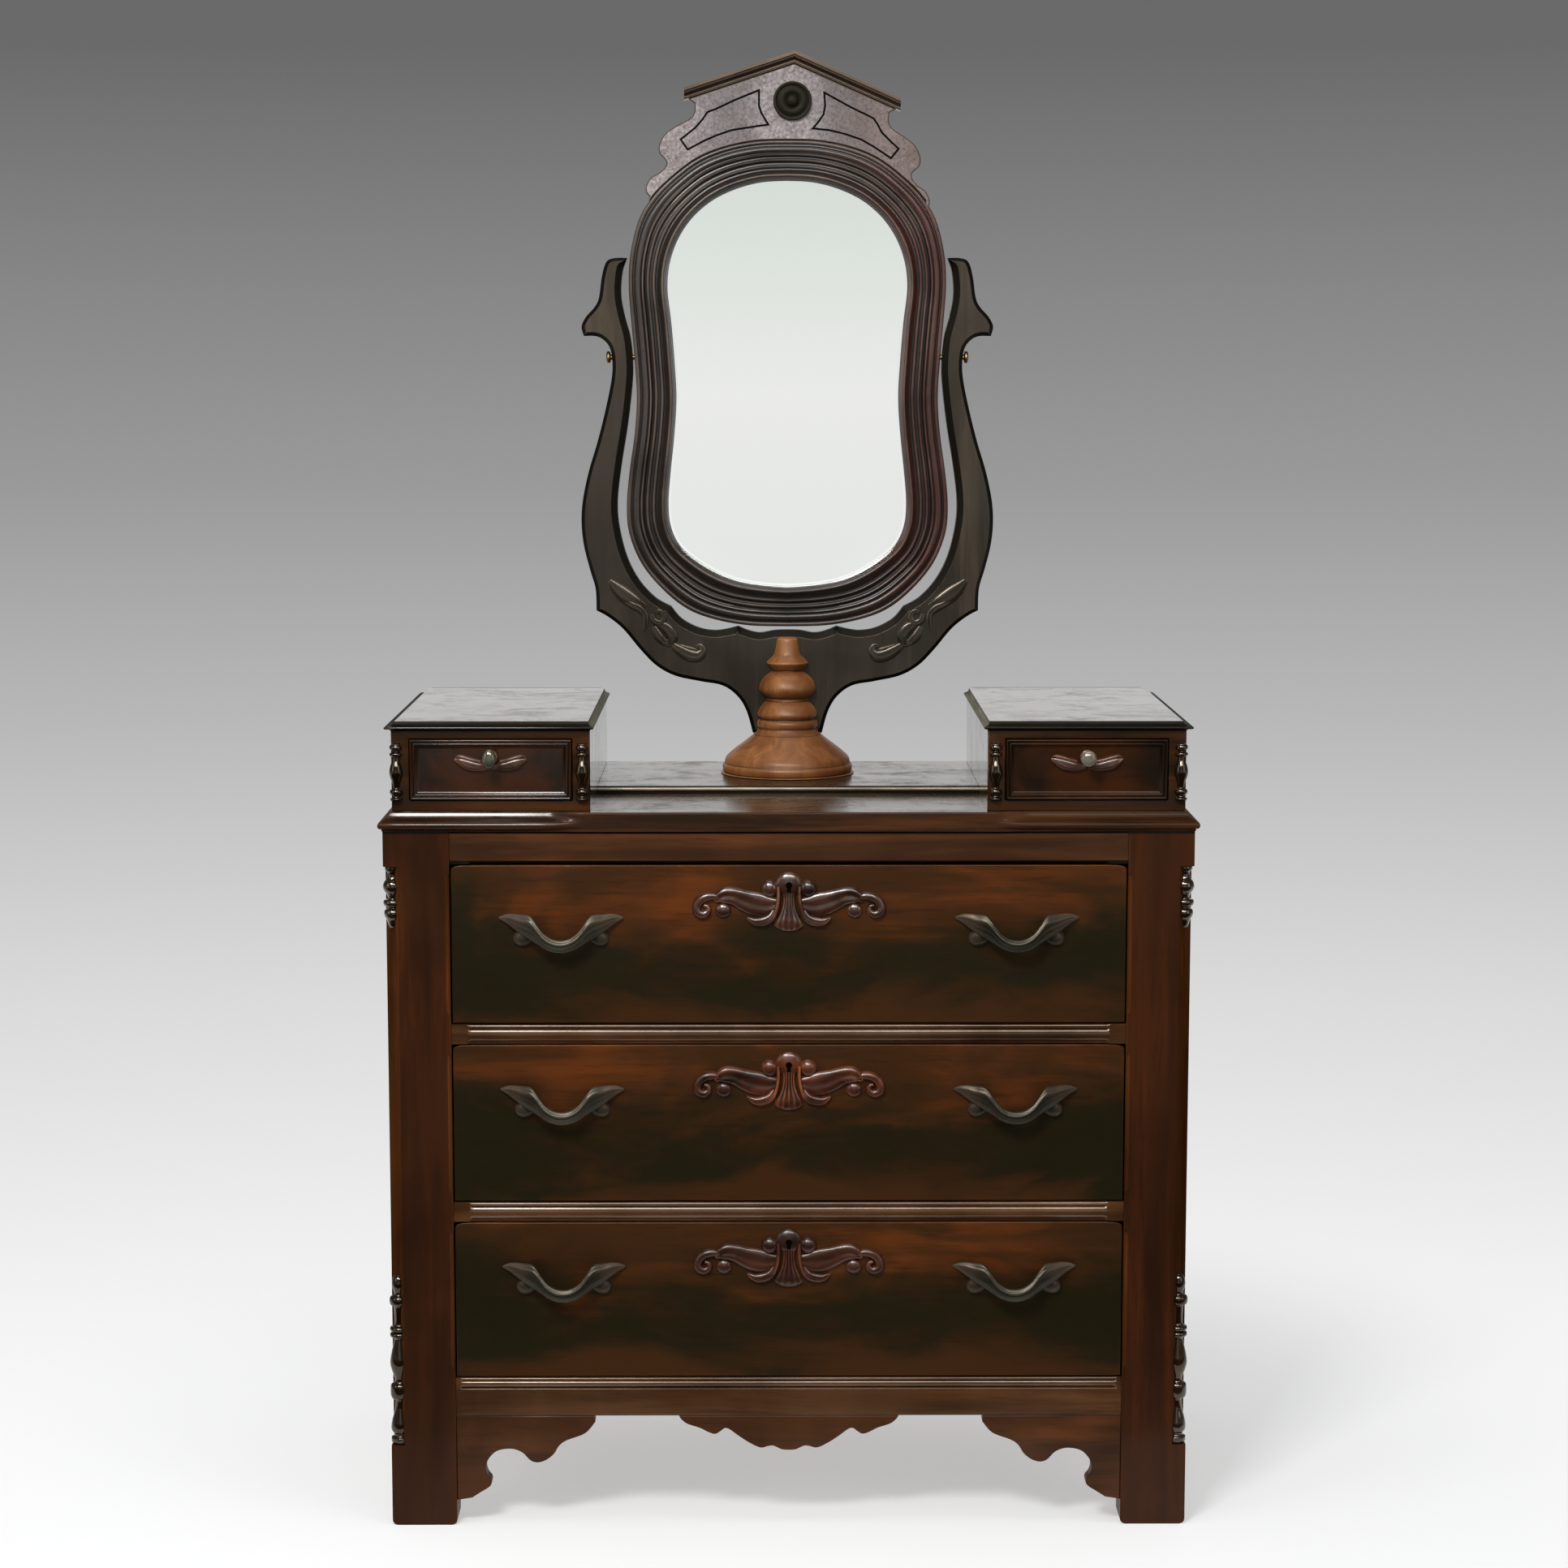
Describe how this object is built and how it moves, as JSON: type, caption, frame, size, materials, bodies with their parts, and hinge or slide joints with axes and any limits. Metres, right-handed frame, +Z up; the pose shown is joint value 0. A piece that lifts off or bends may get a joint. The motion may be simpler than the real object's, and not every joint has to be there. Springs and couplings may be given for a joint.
{
  "type": "dresser with mirror",
  "caption": "Dresser with long drawers, a drop-well top between small drawer boxes, and a tilting mirror in a wishbone on a turned pedestal.",
  "frame": {"origin": "on the floor, under the middle of the whole outline", "axes": "+X to the viewer's right, +Y to the back, +Z up; the drawers open towards -Y"},
  "size_m": [1.017, 0.4754, 1.8655],
  "materials": {
    "case_wood": "glossy dark reddish brown",
    "drawer_wood": "glossy, darkened in the middle",
    "inner_wood": "plain, unpolished",
    "carved_wood": "glossy carved",
    "dark_wood": "satin, nearly black",
    "pedestal_wood": "satin orange brown",
    "frame_wood": "glossy dark brown",
    "crest_wood": "worn, nearly matt",
    "mirror": "silvered plate glass",
    "brass": "tarnished"
  },
  "bodies": {
    "case": {"corner_post_left": "case_wood", "corner_post_right": "case_wood", "side_left": "case_wood", "side_right": "case_wood", "rail_top": "case_wood", "rail_bottom": "case_wood", "divider_upper": "case_wood", "divider_middle": "case_wood", "bracket_left": "case_wood", "bracket_right": "case_wood", "apron_pendant": "case_wood", "case_top": "case_wood", "well_deck": "case_wood", "glove_case_left": "case_wood", "glove_case_right": "case_wood", "glove_top_left": "case_wood", "glove_top_right": "case_wood", "runner_frame_upper": "inner_wood", "runner_frame_middle": "inner_wood", "runner_frame_lower": "inner_wood", "back_panel": "inner_wood", "pedestal": "pedestal_wood", "harp": "dark_wood", "pivot_screw_left": "brass", "pivot_screw_right": "brass"},
    "drawer_1": {"drawer_front_1": "drawer_wood", "drawer_box_1": "inner_wood", "lock_1": "brass", "pull_1_left": "dark_wood", "pull_1_right": "dark_wood", "escutcheon_1": "carved_wood"},
    "bolt_1": {"lock_bolt_1": "brass"},
    "drawer_2": {"drawer_front_2": "drawer_wood", "drawer_box_2": "inner_wood", "lock_2": "brass", "pull_2_left": "dark_wood", "pull_2_right": "dark_wood", "escutcheon_2": "carved_wood"},
    "bolt_2": {"lock_bolt_2": "brass"},
    "drawer_3": {"drawer_front_3": "drawer_wood", "drawer_box_3": "inner_wood", "lock_3": "brass", "pull_3_left": "dark_wood", "pull_3_right": "dark_wood", "escutcheon_3": "carved_wood"},
    "bolt_3": {"lock_bolt_3": "brass"},
    "glove_left": {"glove_front_left": "case_wood", "glove_drawer_left": "inner_wood", "leaf_left": "carved_wood", "knob_left": "carved_wood"},
    "glove_right": {"glove_front_right": "case_wood", "glove_drawer_right": "inner_wood", "leaf_right": "carved_wood", "knob_right": "carved_wood"},
    "mirror": {"mirror_frame": "frame_wood", "mirror_glass": "mirror", "mirror_back": "inner_wood", "crest_board": "crest_wood", "crest_cornice": "frame_wood", "rosette": "dark_wood"}
  },
  "joints": [
    {"name": "drawer_1_slide", "type": "slide", "parent": "case", "child": "drawer_1", "axis": [0, -1, 0], "range_m": [0, 0.3]},
    {"name": "bolt_1_slide", "type": "slide", "parent": "drawer_1", "child": "bolt_1", "axis": [0, 0, 1], "range_m": [0, 0.007]},
    {"name": "drawer_2_slide", "type": "slide", "parent": "case", "child": "drawer_2", "axis": [0, -1, 0], "range_m": [0, 0.3]},
    {"name": "bolt_2_slide", "type": "slide", "parent": "drawer_2", "child": "bolt_2", "axis": [0, 0, 1], "range_m": [0, 0.007]},
    {"name": "drawer_3_slide", "type": "slide", "parent": "case", "child": "drawer_3", "axis": [0, -1, 0], "range_m": [0, 0.3]},
    {"name": "bolt_3_slide", "type": "slide", "parent": "drawer_3", "child": "bolt_3", "axis": [0, 0, 1], "range_m": [0, 0.007]},
    {"name": "glove_left_slide", "type": "slide", "parent": "case", "child": "glove_left", "axis": [0, -1, 0], "range_m": [0, 0.25]},
    {"name": "glove_right_slide", "type": "slide", "parent": "case", "child": "glove_right", "axis": [0, -1, 0], "range_m": [0, 0.25]},
    {"name": "mirror_tilt", "type": "hinge", "parent": "case", "child": "mirror", "pos_m": [0, 0.12595, 1.4714], "axis": [1, 0, 0], "range_deg": [-20, 20]}
  ]
}
